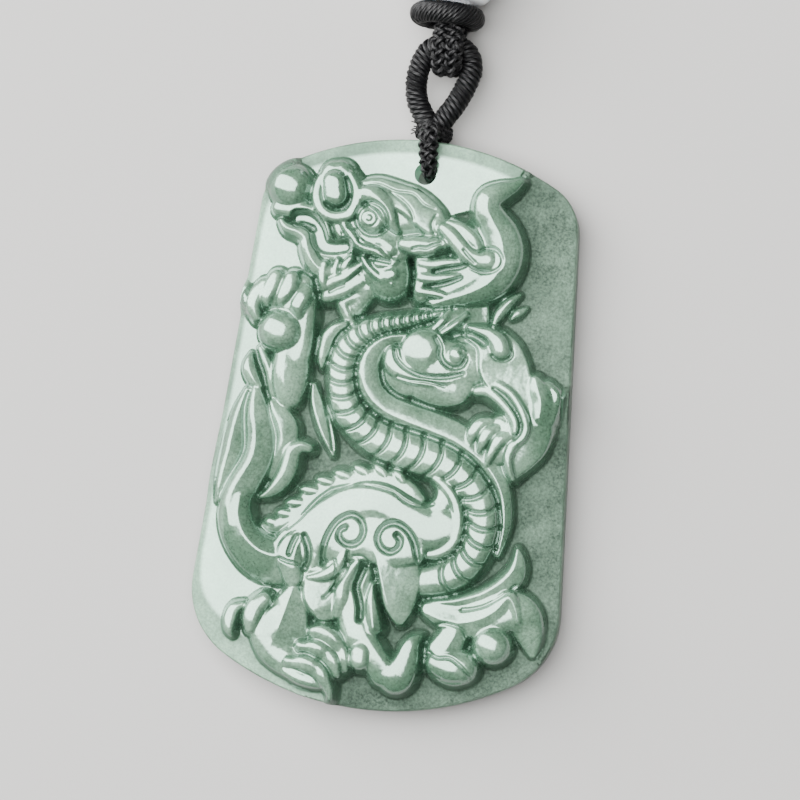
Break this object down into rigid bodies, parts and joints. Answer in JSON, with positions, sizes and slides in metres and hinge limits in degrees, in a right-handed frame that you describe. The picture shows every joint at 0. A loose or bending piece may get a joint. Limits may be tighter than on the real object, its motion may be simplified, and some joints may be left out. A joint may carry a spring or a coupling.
{
  "type": "jade dragon plaque pendant",
  "caption": "Carved jade plaque pendant: a dragon in high relief on a flat-backed tablet, on bound cord loops with a collar knot and bead, its neck cord coiled.",
  "frame": {"origin": "middle of the plaque's flat back, on the surface that it lies on", "axes": "+Y to the plaque's top and the cord, +Z out of the carved face, +X to the right of the carving"},
  "size_m": [0.0387, 0.1275, 0.01],
  "materials": {
    "jade": "polished carving on a partly frosted ground",
    "black_cord": "braided and wrapped thread",
    "pale_bead": "polished"
  },
  "bodies": {
    "root": {"jade_plaque": "jade", "hanging_loop": "black_cord", "link_loop": "black_cord", "collar_knot": "black_cord", "bead": "pale_bead", "neck_cord_left": "black_cord", "neck_cord_right": "black_cord", "neck_cord_coil": "black_cord"}
  },
  "joints": []
}
